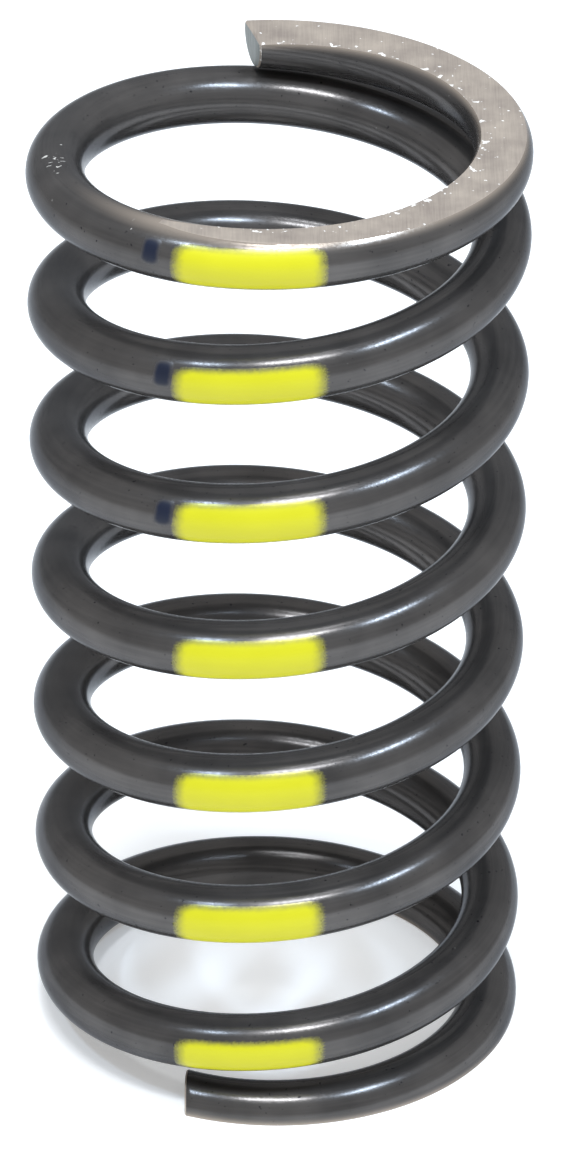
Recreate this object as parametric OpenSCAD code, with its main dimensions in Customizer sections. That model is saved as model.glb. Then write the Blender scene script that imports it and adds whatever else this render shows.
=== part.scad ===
// Coil-over compression spring: one right-hand helix of round wire with closed and ground ends.
// The wire is divided at each half turn, so that the coils can close up on each other.
// Angles are in degrees, counted from +X towards +Y, and grow upwards along the wire.

/* [Wire] */
// Diameter of the round wire
wire_d = 9.2; // [6:0.1:12]

/* [Coil] */
// Clear diameter inside the coil
inner_d = 60; // [50:1:80]
// Height over the two ground faces with no load
free_length = 158; // [140:1:220]
// Turns between the lower and the upper end coil
sprung_turns = 6; // [4:1:7]

/* [Lower end] */
// Direction in which the lower wire tip lies
lower_tip_at = 245; // [190:1:260]
// Lean of the shear cut at the lower tip: the outer side of the wire ends further anticlockwise
lower_tip_lean = 21; // [-30:1:30]
// Thickness that grinding leaves at the lower tip
lower_tip_thickness = 4.6; // [3:0.1:6]
// Gap between the lower tip and the coil above it
lower_tip_gap = 2.4; // [0.3:0.1:4]
// Turns from the tip over which the lower coil lies flat
lower_flat_turns = 0.30; // [0.1:0.01:0.5]
// Turns from the tip after which the lower coil has its full pitch
lower_run_in_turns = 0.92; // [0.7:0.01:1.2]

/* [Upper end] */
// Direction in which the upper wire tip lies
upper_tip_at = 97; // [20:1:170]
// Lean of the shear cut at the upper tip: the outer side of the wire ends further anticlockwise
upper_tip_lean = 9; // [-30:1:30]
// Thickness that grinding leaves at the upper tip
upper_tip_thickness = 5.6; // [3:0.1:6]
// Gap between the upper tip and the coil below it
upper_tip_gap = 0.7; // [0.3:0.1:4]
// Height by which the last stretch of wire curls up to its tip
upper_curl = 2.0; // [0:0.1:2.5]
// Turns from the tip over which it curls up
upper_curl_turns = 0.18; // [0.1:0.01:0.5]
// Turns from the tip over which the upper coil lies flat
upper_flat_turns = 0.12; // [0.1:0.01:0.5]
// Turns from the tip after which the upper coil has its full pitch
upper_run_in_turns = 1.23; // [0.7:0.01:1.3]

/* [Yellow marks] */
// Direction that the middle of each yellow mark faces
yellow_at = 262.7; // [230:0.1:310]
// Length of a yellow mark around the coil
yellow_length = 25.8; // [10:0.1:50]
// Angle on the wire, above the outermost point, where the yellow starts
yellow_top = 57; // [20:1:75]
// Angle on the wire, below the outermost point, where the yellow ends
yellow_bottom = 65; // [20:1:75]

/* [Blue marks] */
// Length of a blue mark around the coil
blue_length = 3.1; // [1:0.1:8]
// Bare wire between a blue mark and the left end of the yellow one
blue_gap = 0.5; // [0:0.1:5]
// Angle on the wire, above the outermost point, where the blue starts
blue_top = 45; // [10:1:60]
// Angle on the wire, below the outermost point, where the blue ends
blue_bottom = 5; // [0:1:60]
// How many coils, counted from the top, carry a blue mark
blue_marks = 3; // [1:1:4]

/* [Paint] */
// Height of the dry paint above the wire
paint_t = 0.10; // [0.05:0.01:0.5]
// Depth to which a mark's solid is bonded into the wire
paint_bond = 0.20; // [0.15:0.01:0.5]

/* [Hidden] */
// Facets: angle between two rings of the wire, and sides of each ring
ring_step = 9;
ring_sides = 20;
// Facets of a mark: strips across the wire
mark_strips = 7;

wire_r = wire_d / 2;
coil_r = inner_d / 2 + wire_r;
outer_r = coil_r + wire_r;

// Angles along the wire: the two tips, and the cuts that divide it at each half turn
lower_cut = 540;
upper_cut = lower_cut + 360 * sprung_turns;
lower_tip = lower_tip_at;
upper_tip = upper_cut + 180 + upper_tip_at;
turns = (upper_tip - lower_tip) / 360;

// Centre line height at each tip; the upper one is taken before the wire is curled up
lower_z = lower_tip_thickness - wire_r;
upper_z = free_length - (upper_tip_thickness - wire_r) - upper_curl;

// Rise of the first whole turn at each end: the coil clears the tip by its gap
lower_turn_rise = wire_d + lower_tip_gap;
upper_turn_rise = wire_d + upper_tip_gap - upper_curl;
// How much of a full turn's pitch that first turn has
lower_share = pitched_turns(1, lower_flat_turns, lower_run_in_turns);
upper_share = pitched_turns(1, upper_flat_turns, upper_run_in_turns);
// Turns that each closed end takes out of the sprung length
lower_lost = (lower_flat_turns + lower_run_in_turns) / 2 / (1 - lower_share);
upper_lost = (upper_flat_turns + upper_run_in_turns) / 2 / (1 - upper_share);
pitch = (upper_z - lower_z - lower_lost * lower_turn_rise - upper_lost * upper_turn_rise)
    / (turns - lower_lost - upper_lost);
// Rise per turn where each end lies flat
lower_lead = (lower_turn_rise - pitch * lower_share) / (1 - lower_share);
upper_lead = (upper_turn_rise - pitch * upper_share) / (1 - upper_share);

// Yellow marks sit where the wire passes yellow_at; angles are taken on the outer radius
mark_count = sprung_turns + 1;
yellow_half = yellow_length / 2 / outer_r * 180 / PI;
blue_angle = blue_length / outer_r * 180 / PI;
blue_gap_angle = blue_gap / outer_r * 180 / PI;

steel = [0.33, 0.32, 0.32];
yellow_paint = [0.90, 0.89, 0.22];
blue_paint = [0.15, 0.20, 0.32];

function half_turn_name(i) = str("coil_", floor(i / 2) + 1, i % 2 == 0 ? "_front" : "_rear");
function yellow_name(k) = str("yellow_mark_", k);
function blue_name(k) = str("blue_mark_", k);

// Area under the smooth step 3t^2 - 2t^3, from 0 to t
function eased(t) = pow(t, 3) - pow(t, 4) / 2;

// Turns at full pitch that u turns from a tip are worth, when the pitch grows from a to b
function pitched_turns(u, a, b) =
    u <= a ? 0 : u >= b ? u - (a + b) / 2 : (b - a) * eased((u - a) / (b - a));

// Rise of the centre line from a tip after u turns
function rise(u, lead, a, b) = lead * u + (pitch - lead) * pitched_turns(u, a, b);

// How much higher the centre line is for the curl, u turns from the upper tip
function curled_up(u) = upper_curl * pow(1 - min(u / upper_curl_turns, 1), 2);

// Height of the centre line at an angle along the wire
function centre_z(angle) = angle - lower_tip < upper_tip - angle
    ? lower_z + rise((angle - lower_tip) / 360, lower_lead, lower_flat_turns, lower_run_in_turns)
    : upper_z + curled_up((upper_tip - angle) / 360)
        - rise((upper_tip - angle) / 360, upper_lead, upper_flat_turns, upper_run_in_turns);

// An upright cut through the sloping round wire is this much taller than it is wide
function section_stretch(angle) =
    norm([1, (centre_z(angle + 1) - centre_z(angle - 1)) / (2 * coil_r * PI / 180)]);

// Point at radius r from the centre line, at side degrees above the outermost point
function wire_point(angle, side, r) = [
    (coil_r + r * cos(side)) * cos(angle),
    (coil_r + r * cos(side)) * sin(angle),
    centre_z(angle) + r * sin(side) * section_stretch(angle)
];

// Point on the outline of a cut that leans from square, or of a square one where lean is 0
function cut_point(angle, side, lean) =
    let (
        out = wire_r * cos(side),
        turn = atan2(out * tan(lean), coil_r + out),
        point = wire_point(angle + turn, side, wire_r)
    )
    [point[0] / cos(turn), point[1] / cos(turn), point[2]];

// Angle on the wire at which paint reaches the upper ground face, or 90 where it never does
function ground_edge(angle) =
    let (room = (free_length - centre_z(angle)) / section_stretch(angle) / (wire_r + paint_t))
    room < 1 ? asin(room) : 90;

// Angles from first to last in equal steps no longer than step
function stations(first, last, step) =
    let (n = ceil((last - first) / step - 0.001)) [for (i = [0 : n]) first + (last - first) * i / n];

// Closed solid through rings that have the same, even number of points. Each cap is a row of
// strips from one half of its ring to the other, so that a crescent is capped as well as a circle.
module through_rings(rings) {
    n = len(rings[0]);
    last = (len(rings) - 1) * n;
    sides = [for (i = [0 : len(rings) - 2], j = [0 : n - 1])
        let (a = i * n + j, b = i * n + (j + 1) % n)
            each [[a, b, a + n], [b, b + n, a + n]]];
    first_cap = [for (j = [0 : n / 2 - 2]) [n - 1 - j, n - 2 - j, j + 1, j]];
    last_cap = [for (j = [0 : n / 2 - 2]) [last + j, last + j + 1, last + n - 2 - j, last + n - 1 - j]];
    polyhedron([for (ring = rings) each ring], concat(first_cap, sides, last_cap));
}

module wire(first, last, first_lean = 0, last_lean = 0) {
    angles = stations(first, last, ring_step);
    end = len(angles) - 1;
    through_rings([for (i = [0 : end])
        let (lean = i == 0 ? first_lean : i == end ? last_lean : 0)
            [for (j = [0 : ring_sides - 1]) cut_point(angles[i], 360 * j / ring_sides, lean)]]);
}

// Keeps what lies between the two ground faces
module between_ground_faces() {
    intersection() {
        children();
        translate([-outer_r * 2, -outer_r * 2, 0]) cube([outer_r * 4, outer_r * 4, free_length]);
    }
}

// Film of paint on the outside of the wire: down along the bonded side, back up along the dry one
function mark_ring(angle, bottom, top) =
    let (step = (bottom + min(top, ground_edge(angle))) / mark_strips) concat(
        [for (j = [mark_strips : -1 : 0]) wire_point(angle, j * step - bottom, wire_r - paint_bond)],
        [for (j = [0 : mark_strips]) wire_point(angle, j * step - bottom, wire_r + paint_t)]
    );

module paint(first, last, bottom, top) {
    through_rings([for (angle = stations(first, last, ring_step)) mark_ring(angle, bottom, top)]);
}

module lower_end_coil() {
    color(steel) between_ground_faces() wire(lower_tip, lower_cut, first_lean = lower_tip_lean);
}

module half_turn(i) {
    color(steel) wire(lower_cut + 180 * i, lower_cut + 180 * (i + 1));
}

module upper_end_coil() {
    color(steel) between_ground_faces() wire(upper_cut, upper_tip, last_lean = upper_tip_lean);
}

module yellow_mark(k) {
    middle = 360 * k + yellow_at;
    color(yellow_paint) paint(middle - yellow_half, middle + yellow_half, yellow_bottom, yellow_top);
}

module blue_mark(k) {
    end = 360 * k + yellow_at - yellow_half - blue_gap_angle;
    color(blue_paint) paint(end - blue_angle, end, blue_bottom, blue_top);
}

lower_end_coil();
for (i = [0 : 2 * sprung_turns - 1])
    half_turn(i);
upper_end_coil();
for (k = [1 : mark_count])
    yellow_mark(k);
for (k = [mark_count - blue_marks + 1 : mark_count])
    blue_mark(k);
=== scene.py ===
import math

import bpy
import numpy as np
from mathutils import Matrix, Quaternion, Vector


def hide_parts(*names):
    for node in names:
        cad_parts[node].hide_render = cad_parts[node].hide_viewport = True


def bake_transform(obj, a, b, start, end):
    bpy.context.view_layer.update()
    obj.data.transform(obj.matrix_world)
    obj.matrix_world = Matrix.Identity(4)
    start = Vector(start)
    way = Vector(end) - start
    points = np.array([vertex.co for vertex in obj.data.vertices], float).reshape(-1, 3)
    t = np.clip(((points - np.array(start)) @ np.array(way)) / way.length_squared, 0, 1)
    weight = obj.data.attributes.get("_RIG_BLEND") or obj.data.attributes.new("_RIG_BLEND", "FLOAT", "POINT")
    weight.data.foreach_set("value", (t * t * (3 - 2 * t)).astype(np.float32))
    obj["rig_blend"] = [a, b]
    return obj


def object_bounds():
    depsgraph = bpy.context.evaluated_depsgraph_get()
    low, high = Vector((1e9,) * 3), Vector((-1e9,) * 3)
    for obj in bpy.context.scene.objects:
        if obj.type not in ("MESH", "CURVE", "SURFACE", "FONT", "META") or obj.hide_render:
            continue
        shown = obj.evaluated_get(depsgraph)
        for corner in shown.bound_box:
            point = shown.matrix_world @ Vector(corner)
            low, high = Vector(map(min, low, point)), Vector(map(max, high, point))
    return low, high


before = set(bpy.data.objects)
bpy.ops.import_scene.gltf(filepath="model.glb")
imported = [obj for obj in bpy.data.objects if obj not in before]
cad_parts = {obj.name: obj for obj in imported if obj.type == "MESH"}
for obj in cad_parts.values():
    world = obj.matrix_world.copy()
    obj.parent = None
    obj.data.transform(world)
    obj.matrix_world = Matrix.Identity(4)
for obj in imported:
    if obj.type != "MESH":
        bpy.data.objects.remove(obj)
cad_low, cad_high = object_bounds()

# ---------------------------------------------------------------- camera
# The spring is seen from in front and 30 degrees above, through a long lens
# from a little over a metre away, and stands slightly left of the middle.
outer_r = (cad_high.x - cad_low.x) / 2
free_length = cad_high.z - cad_low.z
wire_r = 0.0046
coil_r = outer_r - wire_r

camera_height_angle = math.radians(30.25)
camera_distance = 36 * coil_r
camera_roll = math.radians(0.16)
aim = Vector((0, 0, 0.499 * free_length))
camera = bpy.data.objects.new("camera", bpy.data.cameras.new("camera"))
bpy.context.scene.collection.objects.link(camera)
camera.data.lens = 244.8
camera.data.sensor_width = 36
camera.data.shift_x = 0.0060
camera.data.clip_end = 20
camera.location = aim + camera_distance * Vector(
    (0, -math.cos(camera_height_angle), math.sin(camera_height_angle)))
camera.rotation_euler = ((aim - camera.location).to_track_quat("-Z", "Y")
                         @ Quaternion((0, 0, 1), camera_roll)).to_euler()
bpy.context.scene.camera = camera

# ---------------------------------------------------------------- wire
# One length of round spring wire, wound right-handed. It is drawn and oil
# tempered, which leaves a thin dark oxide with a satin gloss. Both ends are
# closed down on the next coil, cut off, and ground flat across the coil.
lower_tip, upper_tip = 245.0, 2977.0
turns = (upper_tip - lower_tip) / 360
lower_tip_thickness, upper_tip_thickness = 0.0046, 0.0056
lower_tip_gap, upper_tip_gap = 0.0024, 0.0007
upper_curl, upper_curl_turns = 0.0020, 0.18
lower_z = lower_tip_thickness - wire_r
upper_z = free_length - (upper_tip_thickness - wire_r) - upper_curl
lower_end = {"flat": 0.30, "run_in": 0.92, "rise": 2 * wire_r + lower_tip_gap}
upper_end = {"flat": 0.12, "run_in": 1.23, "rise": 2 * wire_r + upper_tip_gap - upper_curl}


def pitched_turns(u, end):
    """Turns at full pitch that u turns from a tip are worth: nothing over the flat stretch,
    then the area under the smooth step 3t^2 - 2t^3 as the pitch grows, then all of it."""
    flat, run_in = end["flat"], end["run_in"]
    t = np.clip((u - flat) / (run_in - flat), 0, 1)
    return (run_in - flat) * (t**3 - t**4 / 2) + np.maximum(u - run_in, 0)


for end in (lower_end, upper_end):
    end["share"] = float(pitched_turns(1.0, end))
    end["lost"] = (end["flat"] + end["run_in"]) / 2 / (1 - end["share"])
pitch = (upper_z - lower_z - sum(e["lost"] * e["rise"] for e in (lower_end, upper_end))) / (
    turns - lower_end["lost"] - upper_end["lost"])
for end in (lower_end, upper_end):
    end["lead"] = (end["rise"] - pitch * end["share"]) / (1 - end["share"])


def centre_z(angle):
    """Height of the wire's centre line: each end's own lead times the turns from its tip,
    plus what the full pitch adds over the pitched turns; the two meet half way up. The last
    stretch before the upper tip curls up by a parabola."""
    def rise(u, end):
        return end["lead"] * u + (pitch - end["lead"]) * pitched_turns(u, end)

    from_lower, from_upper = (angle - lower_tip) / 360, (upper_tip - angle) / 360
    return np.where(from_lower < from_upper, lower_z + rise(from_lower, lower_end),
                    upper_z - rise(from_upper, upper_end) + upper_curl * np.clip(
                        1 - from_upper / upper_curl_turns, 0, 1)**2)


def wire_points(angle, out, up):
    """Points of upright sections through the wire: out metres outwards from the centre line
    and up metres above it, with up stretched by 1 / cos(slope), at angle round the coil."""
    slope = (centre_z(angle + 1) - centre_z(angle - 1)) / (2 * coil_r * math.radians(1))
    turned = np.radians(angle)
    return np.stack([(coil_r + out) * np.cos(turned), (coil_r + out) * np.sin(turned),
                     centre_z(angle) + up * np.hypot(1, slope)], axis=-1)


def travel_share(angle):
    """How much of the upper end's travel the wire at an angle makes: a straight line from the
    first to the last sprung turn, with a parabola of half width ease at either end."""
    first, last, ease = 720.0, 2520.0, 0.05
    t = (angle - first) / (last - first)
    start = np.where(t > ease, t, np.clip(t + ease, 0, None)**2 / (4 * ease))
    return np.where(t < 1 - ease, start, 1 - np.clip(1 + ease - t, 0, None)**2 / (4 * ease))


def swept_solid(name, rings, angle):
    """Closed mesh through rings of equal point counts, capped at both ends, that follows the
    spring as it shortens. Its UV map gives metres along the wire and metres round it."""
    rows, columns = rings.shape[:2]
    first = (np.arange(rows - 1)[:, None] * columns + np.arange(columns)).ravel()
    after = (np.arange(rows - 1)[:, None] * columns + (np.arange(columns) + 1) % columns).ravel()
    sides = np.stack([first, first + columns, after + columns, after], axis=1)
    caps = [list(range(columns)), list(range(rows * columns - 1, (rows - 1) * columns - 1, -1))]
    mesh = bpy.data.meshes.new(name)
    mesh.from_pydata(rings.reshape(-1, 3).tolist(), [], sides.tolist() + caps)

    along = np.radians(angle - angle[0]) * coil_r
    around = np.arange(columns + 1) / columns * 2 * math.pi * wire_r
    i, j = np.divmod(np.arange((rows - 1) * columns), columns)
    corners = np.stack([along[[i, i + 1, i + 1, i]].T, around[[j, j, j + 1, j + 1]].T], axis=-1)
    uv = np.concatenate([corners.reshape(-1, 2), np.zeros((2 * columns, 2))])
    mesh.uv_layers.new(name="wire_uv").data.foreach_set("uv", uv.astype(np.float32).ravel())

    sharpest_smooth_edge = math.radians(35)
    mesh.shade_smooth()
    mesh.set_sharp_from_angle(angle=sharpest_smooth_edge)
    solid = bpy.data.objects.new(name, mesh)
    bpy.context.scene.collection.objects.link(solid)
    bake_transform(solid, "lower_end", "upper_end", start=(0, 0, 0), end=(0, 0, free_length))
    # Each point takes its own share of the travel, in place of one that follows its height
    share = np.repeat(travel_share(angle), columns).astype(np.float32)
    mesh.attributes["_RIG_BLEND"].data.foreach_set("value", share)
    return solid


def wire_section(angle):
    """Outline of the wire at each angle, as shares of its radius: an outer and an inner arc,
    and between them an upper and a lower band that a ground face cuts down to a chord."""
    arc_steps, band_steps, widest = 24, 6, math.radians(82)
    above = ((free_length - centre_z(angle)) / wire_r)[:, None]
    below = (centre_z(angle) / wire_r)[:, None]
    top = np.minimum(np.arcsin(np.minimum(above, 1)), widest)
    bottom = np.minimum(np.arcsin(np.minimum(below, 1)), widest)
    arc = -bottom + (top + bottom) * np.arange(arc_steps) / arc_steps
    band = 1 - 2 * np.arange(band_steps) / band_steps
    top_x, bottom_x = np.cos(top) * band, -np.cos(bottom) * band
    mirrored = top - (top + bottom) * np.arange(arc_steps) / arc_steps
    out = np.concatenate([np.cos(arc), top_x, -np.cos(mirrored), bottom_x], axis=1)
    up = np.concatenate([np.sin(arc), np.minimum(np.sqrt(1 - top_x**2), above), np.sin(mirrored),
                         -np.minimum(np.sqrt(1 - bottom_x**2), below)], axis=1)
    upper_band = arc_steps + np.arange(band_steps)
    lower_band = 2 * arc_steps + band_steps + np.arange(band_steps)
    return out, up, (above[:, 0] < 1, upper_band), (below[:, 0] < 1, lower_band)


# Rings 2 degrees apart, and at each tip a ring shrunk by a chamfer 0.3 mm long
ring_step, chamfer_length, chamfer_shrink = 2, 0.0003, 0.93
ring_count = round((upper_tip - lower_tip) / ring_step) + 1
chamfer = math.degrees(chamfer_length / coil_r)
wire_angle = np.concatenate([[lower_tip, lower_tip + chamfer],
                             np.linspace(lower_tip, upper_tip, ring_count)[1:-1],
                             [upper_tip - chamfer, upper_tip]])
out, up, upper_face, lower_face = wire_section(wire_angle)
for tip in (0, -1):
    for outline in (out, up):
        middle = outline[tip].mean()
        outline[tip] = middle + (outline[tip] - middle) * chamfer_shrink
rings = wire_points(wire_angle[:, None], out * wire_r, up * wire_r)
wire_z = rings[..., 2]
# The shear cut at each tip leans from square: the outer side of the wire is turned on round
# the coil and the inner side back, most at the tip and nothing beyond lean_reach degrees
lean_reach = 12
for tip, lean in ((lower_tip, 21), (upper_tip, 9)):
    share = np.clip(1 - np.abs(wire_angle - tip) / lean_reach, 0, 1)[:, None]
    turn = share * math.tan(math.radians(lean)) * out * wire_r / coil_r
    x, y = rings[..., 0], rings[..., 1]
    rings[..., 0], rings[..., 1] = (x * np.cos(turn) - y * np.sin(turn),
                                    x * np.sin(turn) + y * np.cos(turn))
wire = swept_solid("wire", rings, wire_angle)

# Next to a ground face the wheel's edge has rubbed the oxide off: the share of bare steel is
# the square of what is left of this depth
rubbed_depth = 0.0013
depth = np.minimum(free_length - wire_z, wire_z)
rubbed = np.clip(1 - depth / rubbed_depth, 0, 1)**2
# Handling has nicked the top coil at its left and beside the paint, and the nicks carry a painted white
# glint:
# bell curves round the middle of each nicked patch, in angle along the wire and in angle up its side
side = np.degrees(np.arctan2(up, out))
nick_glint = sum(share * np.exp(-((wire_angle[:, None] - middle) / along)**2
                            - ((side - above) / across)**2)
             for share, middle, along, above, across in ((1.0, 2711, 9, 85, 30),
                                                         (0.8, 2757, 9, 68, 16)))
for name, share in (("rubbed", rubbed), ("nick_glint", nick_glint)):
    wire.data.attributes.new(name, "FLOAT", "POINT").data.foreach_set(
        "value", share.astype(np.float32).ravel())

# Material slots: 0 as drawn, 1 ground, 2 sheared
columns = out.shape[1]
finish = np.zeros((len(wire_angle) - 1, columns), int)
for cut, band in (upper_face, lower_face):
    finish[np.ix_(cut[:-1] & cut[1:], band)] = 1
finish[[0, -1]] = 1
finish = np.append(finish.ravel(), [2, 2])
wire.data.polygons.foreach_set("material_index", finish.astype(np.int32))
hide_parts("lower_end_coil", "upper_end_coil",
            *[f"coil_{k}_{half}" for k in range(1, 7) for half in ("front", "rear")])


def linear(colour):
    """Linear RGBA of an sRGB hex colour: ((c + 0.055) / 1.055)^2.4, or c / 12.92 when dark."""
    parts = [int(colour[i:i + 2], 16) / 255 for i in (1, 3, 5)]
    return [((c + 0.055) / 1.055)**2.4 if c > 0.04045 else c / 12.92 for c in parts] + [1]


def node(tree, kind, links=None, **settings):
    """Adds one node. settings are its own properties; links sets inputs by name or number,
    from a value or from another node's output."""
    made = tree.nodes.new("ShaderNode" + kind)
    for key, value in settings.items():
        setattr(made, key, value)
    for key, value in (links or {}).items():
        if isinstance(value, bpy.types.NodeSocket):
            tree.links.new(value, made.inputs[key])
        else:
            made.inputs[key].default_value = value
    return made


def material(name):
    """An empty node material: its tree, and the output node to end at."""
    made = bpy.data.materials.new(name)
    made.use_nodes = True
    made.node_tree.nodes.clear()
    return made, made.node_tree, node(made.node_tree, "OutputMaterial")


def oxide_wire(tree):
    """Oil-tempered wire: a dark grey oxide, faintly streaked along the wire where it was
    drawn, with small dark pits. The oxide is even but not polished, so lights spread a
    little on it and break up into sparkles. Noise scales are repeats per metre: streaks 17
    by 0.6 mm, clouds 11 mm, grain 0.4 mm and pits 0.7 mm, coarser than real so they show."""
    place = node(tree, "TexCoord")
    streaks = node(tree, "Mapping", {"Vector": place.outputs["UV"], "Scale": (60, 1800, 1)})
    drawn = node(tree, "TexNoise", {"Vector": streaks.outputs[0], "Scale": 1, "Detail": 3})
    cloud = node(tree, "TexNoise", {"Vector": place.outputs["Object"], "Scale": 90, "Detail": 3})
    grain = node(tree, "TexNoise", {"Vector": place.outputs["Object"], "Scale": 2600, "Detail": 2})
    pits = node(tree, "TexNoise", {"Vector": place.outputs["Object"], "Scale": 1500, "Detail": 1})
    tone = node(tree, "Math", {0: drawn.outputs["Fac"], 1: 0.45, 2: cloud.outputs["Fac"]},
                operation="MULTIPLY_ADD")
    grey = node(tree, "ValToRGB", {"Fac": tone.outputs[0]})
    grey.color_ramp.elements[0].position = 0.50
    grey.color_ramp.elements[0].color = linear("#464443")
    grey.color_ramp.elements[1].position = 0.95
    grey.color_ramp.elements[1].color = linear("#5b5856")
    hole = node(tree, "MapRange", {"Value": pits.outputs["Fac"], "From Min": 0.72,
                                   "From Max": 0.78}, clamp=True)
    colour = node(tree, "Mix", {0: hole.outputs[0], 6: grey.outputs[0], 7: linear("#2b2a2c")},
                  data_type="RGBA")
    rough = node(tree, "MapRange", {"Value": grain.outputs["Fac"], "From Min": 0.3,
                                    "From Max": 0.7, "To Min": 0.17, "To Max": 0.27})
    height = node(tree, "Math", {0: drawn.outputs["Fac"], 1: 0.5, 2: grain.outputs["Fac"]},
                  operation="MULTIPLY_ADD")
    bump = node(tree, "Bump", {"Height": height.outputs[0], "Strength": 0.10, "Distance": 0.00006})
    return colour.outputs[2], rough.outputs[0], bump.outputs[0]


# Oil-tempered spring steel, as drawn: dark and satin, browner and brighter where it has been rubbed, and
# painted near white as a glint where it is nicked. The chips in a nick are 0.7 by 1.4 mm.
tempered, tree, output = material("oil_tempered_steel")
colour, rough, bump = oxide_wire(tree)
rubbed = node(tree, "Attribute", attribute_name="rubbed")
nick_glint = node(tree, "Attribute", attribute_name="nick_glint")
place = node(tree, "TexCoord")
short = node(tree, "Mapping", {"Vector": place.outputs["UV"], "Scale": (1500, 700, 1)})
chips = node(tree, "TexNoise", {"Vector": short.outputs[0], "Scale": 1, "Detail": 2})
struck = node(tree, "Math", {0: nick_glint.outputs["Fac"], 1: 0.22, 2: chips.outputs["Fac"]},
              operation="MULTIPLY_ADD")
nick_glint_mask = node(tree, "MapRange", {"Value": struck.outputs[0], "From Min": 0.80, "From Max": 0.84})
colour = node(tree, "Mix", {0: rubbed.outputs["Fac"], 6: colour, 7: linear("#a5998d")},
              data_type="RGBA")
# Painted glint: the nicks are coloured near white to stand in for light flashing off them
colour = node(tree, "Mix", {0: nick_glint_mask.outputs[0], 6: colour.outputs[2], 7: linear("#f4f2ec")},
              data_type="RGBA")
shader = node(tree, "BsdfPrincipled", {"Base Color": colour.outputs[2], "Roughness": rough,
                                       "Normal": bump,
                                       "Metallic": 0.6,
                                       "Specular Tint": linear("#8a9098")})
tree.links.new(shader.outputs[0], output.inputs[0])
wire.data.materials.append(tempered)

# Bare steel, ground by the face of a wide wheel: fine nearly straight scratches across the
# whole coil, and tiny burrs that the wheel turned over, whose sparkle is painted as white glints, thickest
# along the face's inner edge. Scratches are 0.3 mm apart and 8 mm long, clouds 5 mm and painted burr glints
# 1.1 mm.
ground, tree, output = material("ground_steel")
place = node(tree, "TexCoord")
across = node(tree, "Mapping", {"Vector": place.outputs["Object"], "Scale": (3500, 120, 120),
                                "Rotation": (0, 0, math.radians(62))})
scratch = node(tree, "TexNoise", {"Vector": across.outputs[0], "Scale": 1, "Detail": 2})
cloud = node(tree, "TexNoise", {"Vector": place.outputs["Object"], "Scale": 220, "Detail": 4})
burr_glint_noise = node(tree, "TexNoise", {"Vector": place.outputs["Object"], "Scale": 900, "Detail": 2})
round_wire = node(tree, "SeparateXYZ", {"Vector": place.outputs["UV"]})
inner_from, inner_to = 0.0134, 0.0143
inner_edge = node(tree, "MapRange", {"Value": round_wire.outputs["Y"], "From Min": inner_from,
                                     "From Max": inner_to, "To Max": 0.11}, clamp=True)
burr_glint_level = node(tree, "Math", {0: burr_glint_noise.outputs["Fac"], 1: inner_edge.outputs[0]}, operation="ADD")
tone = node(tree, "Math", {0: scratch.outputs["Fac"], 1: 0.5, 2: cloud.outputs["Fac"]},
            operation="MULTIPLY_ADD")
grey = node(tree, "ValToRGB", {"Fac": tone.outputs[0]})
grey.color_ramp.elements[0].position = 0.5
grey.color_ramp.elements[0].color = linear("#948980")
grey.color_ramp.elements[1].position = 1.0
grey.color_ramp.elements[1].color = linear("#b4a89b")
# Painted glints: where the noise, raised along the inner edge, passes a threshold, the colour turns near
# white to stand in for light sparkling off burrs
glint = node(tree, "MapRange", {"Value": burr_glint_level.outputs[0], "From Min": 0.71, "From Max": 0.74})
colour = node(tree, "Mix", {0: glint.outputs[0], 6: grey.outputs[0], 7: linear("#fffdf8")},
              data_type="RGBA")
bump = node(tree, "Bump", {"Height": scratch.outputs["Fac"], "Strength": 0.15, "Distance": 0.0002})
shader = node(tree, "BsdfPrincipled", {"Base Color": colour.outputs[2], "Roughness": 0.45,
                                       "Normal": bump.outputs[0], "Metallic": 0.5})
tree.links.new(shader.outputs[0], output.inputs[0])
wire.data.materials.append(ground)

# The sheared end of the wire: bare steel, dull and torn in upright lines 0.6 mm apart
# and 4 mm long
sheared, tree, output = material("sheared_steel")
place = node(tree, "TexCoord")
upright = node(tree, "Mapping", {"Vector": place.outputs["Object"], "Scale": (1800, 1800, 250)})
torn = node(tree, "TexNoise", {"Vector": upright.outputs[0], "Scale": 1, "Detail": 3})
grey = node(tree, "ValToRGB", {"Fac": torn.outputs["Fac"]})
grey.color_ramp.elements[0].color = linear("#616665")
grey.color_ramp.elements[1].color = linear("#8e9391")
bump = node(tree, "Bump", {"Height": torn.outputs["Fac"], "Strength": 0.3, "Distance": 0.0004})
shader = node(tree, "BsdfPrincipled", {"Base Color": grey.outputs[0], "Roughness": 0.5,
                                       "Normal": bump.outputs[0], "Metallic": 0.6})
tree.links.new(shader.outputs[0], output.inputs[0])
wire.data.materials.append(sheared)

# ---------------------------------------------------------------- colour marks
# Colour-code paint on the outside of each coil: a stripe of yellow sprayed down the front
# of the standing spring, and a dab of dark blue at its left end on the uppermost coils.
film = 0.00005
bond = 0.0002
below_face = 0.00005


def smooth_step(t):
    """3t^2 - 2t^3 between 0 and 1."""
    t = np.clip(t, 0, 1)
    return t * t * (3 - 2 * t)


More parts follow.
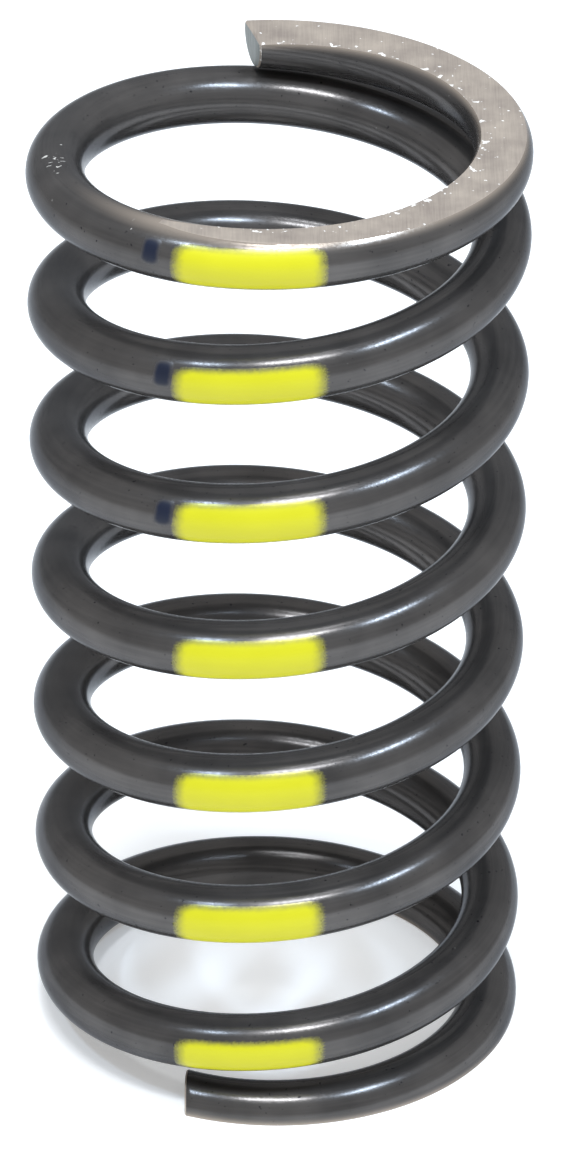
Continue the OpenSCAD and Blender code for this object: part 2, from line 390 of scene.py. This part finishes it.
def paint_film(name, middle, length, bottom, top, feather_along, feather_across):
    """A film on the outside of the wire, over a rectangle of angle and side. Its height, and
    its colour attribute, fall to nothing as a smooth step over a feather at each edge."""
    half = math.degrees(length / 2 / outer_r)
    points_along, points_across = 61, 41
    angle = np.linspace(middle - half, middle + half, points_along)
    side = np.linspace(-bottom, top, points_across)
    end_room = np.minimum(angle - angle[0], angle[-1] - angle) * math.radians(outer_r)
    side_room = np.minimum(side - side[0], side[-1] - side) * math.radians(wire_r)
    cover = smooth_step(end_room[:, None] / feather_along) * smooth_step(
        side_room[None, :] / feather_across)
    edge = (free_length - below_face - centre_z(angle))[:, None]
    dry = wire_r + film * (2 * cover - 0.5)
    bonded = np.full_like(dry, wire_r - bond)[:, ::-1]
    turned = np.radians(side)[None, :]
    out = np.concatenate([dry * np.cos(turned), bonded * np.cos(turned[:, ::-1])], axis=1)
    up = np.concatenate([dry * np.sin(turned), bonded * np.sin(turned[:, ::-1])], axis=1)
    up = np.minimum(up, edge)
    mark = swept_solid(name, wire_points(angle[:, None], out, up), angle)
    paint = np.concatenate([cover, np.zeros_like(cover)], axis=1).astype(np.float32)
    mark.data.attributes.new("paint", "FLOAT", "POINT").data.foreach_set("value", paint.ravel())
    return mark


def paint_material(name, colours, roughness):
    """Thin paint over the oxide: where the film runs out, its cover breaks up over the grain
    of the steel, in specks of 0.7 mm, and the wire shows through. Its hue drifts over 6 mm."""
    made, tree, output = material(name)
    steel, rough, bump = oxide_wire(tree)
    place = node(tree, "TexCoord")
    cover = node(tree, "Attribute", attribute_name="paint")
    speckle = node(tree, "TexNoise", {"Vector": place.outputs["Object"], "Scale": 1500,
                                      "Detail": 3})
    ragged = node(tree, "Math", {0: speckle.outputs["Fac"], 1: 0.24, 2: cover.outputs["Fac"]},
                  operation="MULTIPLY_ADD")
    mask = node(tree, "MapRange", {"Value": ragged.outputs[0], "From Min": 0.15,
                                   "From Max": 1.00}, interpolation_type="SMOOTHSTEP")
    cloud = node(tree, "TexNoise", {"Vector": place.outputs["Object"], "Scale": 160, "Detail": 2})
    hue = node(tree, "ValToRGB", {"Fac": cloud.outputs["Fac"]})
    for element, colour in zip(hue.color_ramp.elements, colours):
        element.color = linear(colour)
    colour = node(tree, "Mix", {0: mask.outputs[0], 6: steel, 7: hue.outputs[0]},
                  data_type="RGBA")
    metal = node(tree, "MapRange", {"Value": mask.outputs[0], "To Min": 0.6, "To Max": 0.0})
    gloss = node(tree, "Mix", {0: mask.outputs[0], 2: rough, 3: roughness})
    shader = node(tree, "BsdfPrincipled", {"Base Color": colour.outputs[2], "Normal": bump,
                                           "Metallic": metal.outputs[0],
                                           "Specular IOR Level": 0.3,
                                           "Roughness": gloss.outputs[0]})
    tree.links.new(shader.outputs[0], output.inputs[0])
    return made


# Yellow spraying enamel: thin, satin, slightly greenish
yellow = paint_material("yellow_enamel", ("#bdb916", "#c5c11e"), 0.4)
# Dark blue marking lacquer, nearly black where it is thick
blue = paint_material("blue_lacquer", ("#060d1e", "#0a162e"), 0.5)

# The stripe's middle in degrees and its length; mist is what drifted past them, and each
# mark reaches so many degrees below and above the widest line of the wire
yellow_at, yellow_length = 262.7, 0.0258
mist_shift, mist_length = 0.5, 0.0017
yellow_reach = {1: (62, 44), 6: (67, 49)}
usual_reach = (65, 57)
yellow_half = math.degrees(yellow_length / 2 / outer_r)
for k in range(1, 8):
    bottom, top = yellow_reach.get(k, usual_reach)
    mark = paint_film(f"yellow_mark_{k}_film", 360 * k + yellow_at + mist_shift,
                      yellow_length + mist_length, bottom, top,
                      feather_along=0.0052, feather_across=0.0026)
    mark.data.materials.append(yellow)
    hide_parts(f"yellow_mark_{k}")

# Each dab is centred half of dab_length past its gap from the yellow, and smears wider
dab_length, smeared_length = 0.0031, 0.0046
for k, gap in ((5, -0.0010), (6, -0.0010), (7, 0.0010)):
    blue_at = yellow_at - yellow_half - math.degrees((gap + dab_length / 2) / outer_r)
    dab = paint_film(f"blue_mark_{k}_film", 360 * k + blue_at, smeared_length,
                     bottom=14, top=54, feather_along=0.0020, feather_across=0.0018)
    dab.data.materials.append(blue)
    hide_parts(f"blue_mark_{k}")

# ---------------------------------------------------------------- floor and light
# A white floor under even white light. Three small lamps high in front draw a bright
# streak each along the upper side of every coil, and a wider one overhead lights the
# ground face and the floor inside the spring.
floor_half = 6.0
floor_mesh = bpy.data.meshes.new("floor")
floor_mesh.from_pydata([(floor_half * x, floor_half * y, cad_low.z)
                        for x, y in ((-1, -1), (1, -1), (1, 1), (-1, 1))], [], [(0, 1, 2, 3)])
floor = bpy.data.objects.new("floor", floor_mesh)
bpy.context.scene.collection.objects.link(floor)
# Matt white paper: it gives back a little light of its own, so that it stays white
paper, tree, output = material("white_paper")
shader = node(tree, "BsdfPrincipled", {"Base Color": linear("#f6f6f5"), "Roughness": 0.9,
                                       "Emission Color": (1, 1, 1, 1),
                                       "Emission Strength": 0.24})
tree.links.new(shader.outputs[0], output.inputs[0])
floor_mesh.materials.append(paper)

world = bpy.data.worlds.new("studio")
world.use_nodes = True
world.node_tree.nodes["Background"].inputs["Color"].default_value = (1, 1, 1, 1)
world.node_tree.nodes["Background"].inputs["Strength"].default_value = 0.55
bpy.context.scene.world = world
bpy.context.scene.view_settings.view_transform = "Standard"

# Each lamp's place is in degrees round from the front and up; its size is in metres
lamp_distance = 1.2
for name, around, above, wide, tall, radiance, colour in (
        ("left_lamp", -60, 57, 0.16, 0.09, 65, "#d3e8ff"),
        ("middle_lamp", -6, 66, 0.42, 0.13, 46, "#f4f9ff"),
        ("right_lamp", 58, 58, 0.34, 0.08, 78, "#d3e8ff"),
        ("top_lamp", 0, 87, 0.30, 0.30, 20, "#f4f9ff")):
    lamp = bpy.data.objects.new(name, bpy.data.lights.new(name, "AREA"))
    bpy.context.scene.collection.objects.link(lamp)
    lamp.data.shape = "RECTANGLE"
    lamp.data.size, lamp.data.size_y = wide, tall
    lamp.data.energy = math.pi * radiance * wide * tall
    lamp.data.color = linear(colour)[:3]
    a, e = math.radians(around), math.radians(above)
    lamp.location = aim + lamp_distance * Vector(
        (math.sin(a) * math.cos(e), -math.cos(a) * math.cos(e), math.sin(e)))
    lamp.rotation_euler = (aim - lamp.location).to_track_quat("-Z", "Y").to_euler()
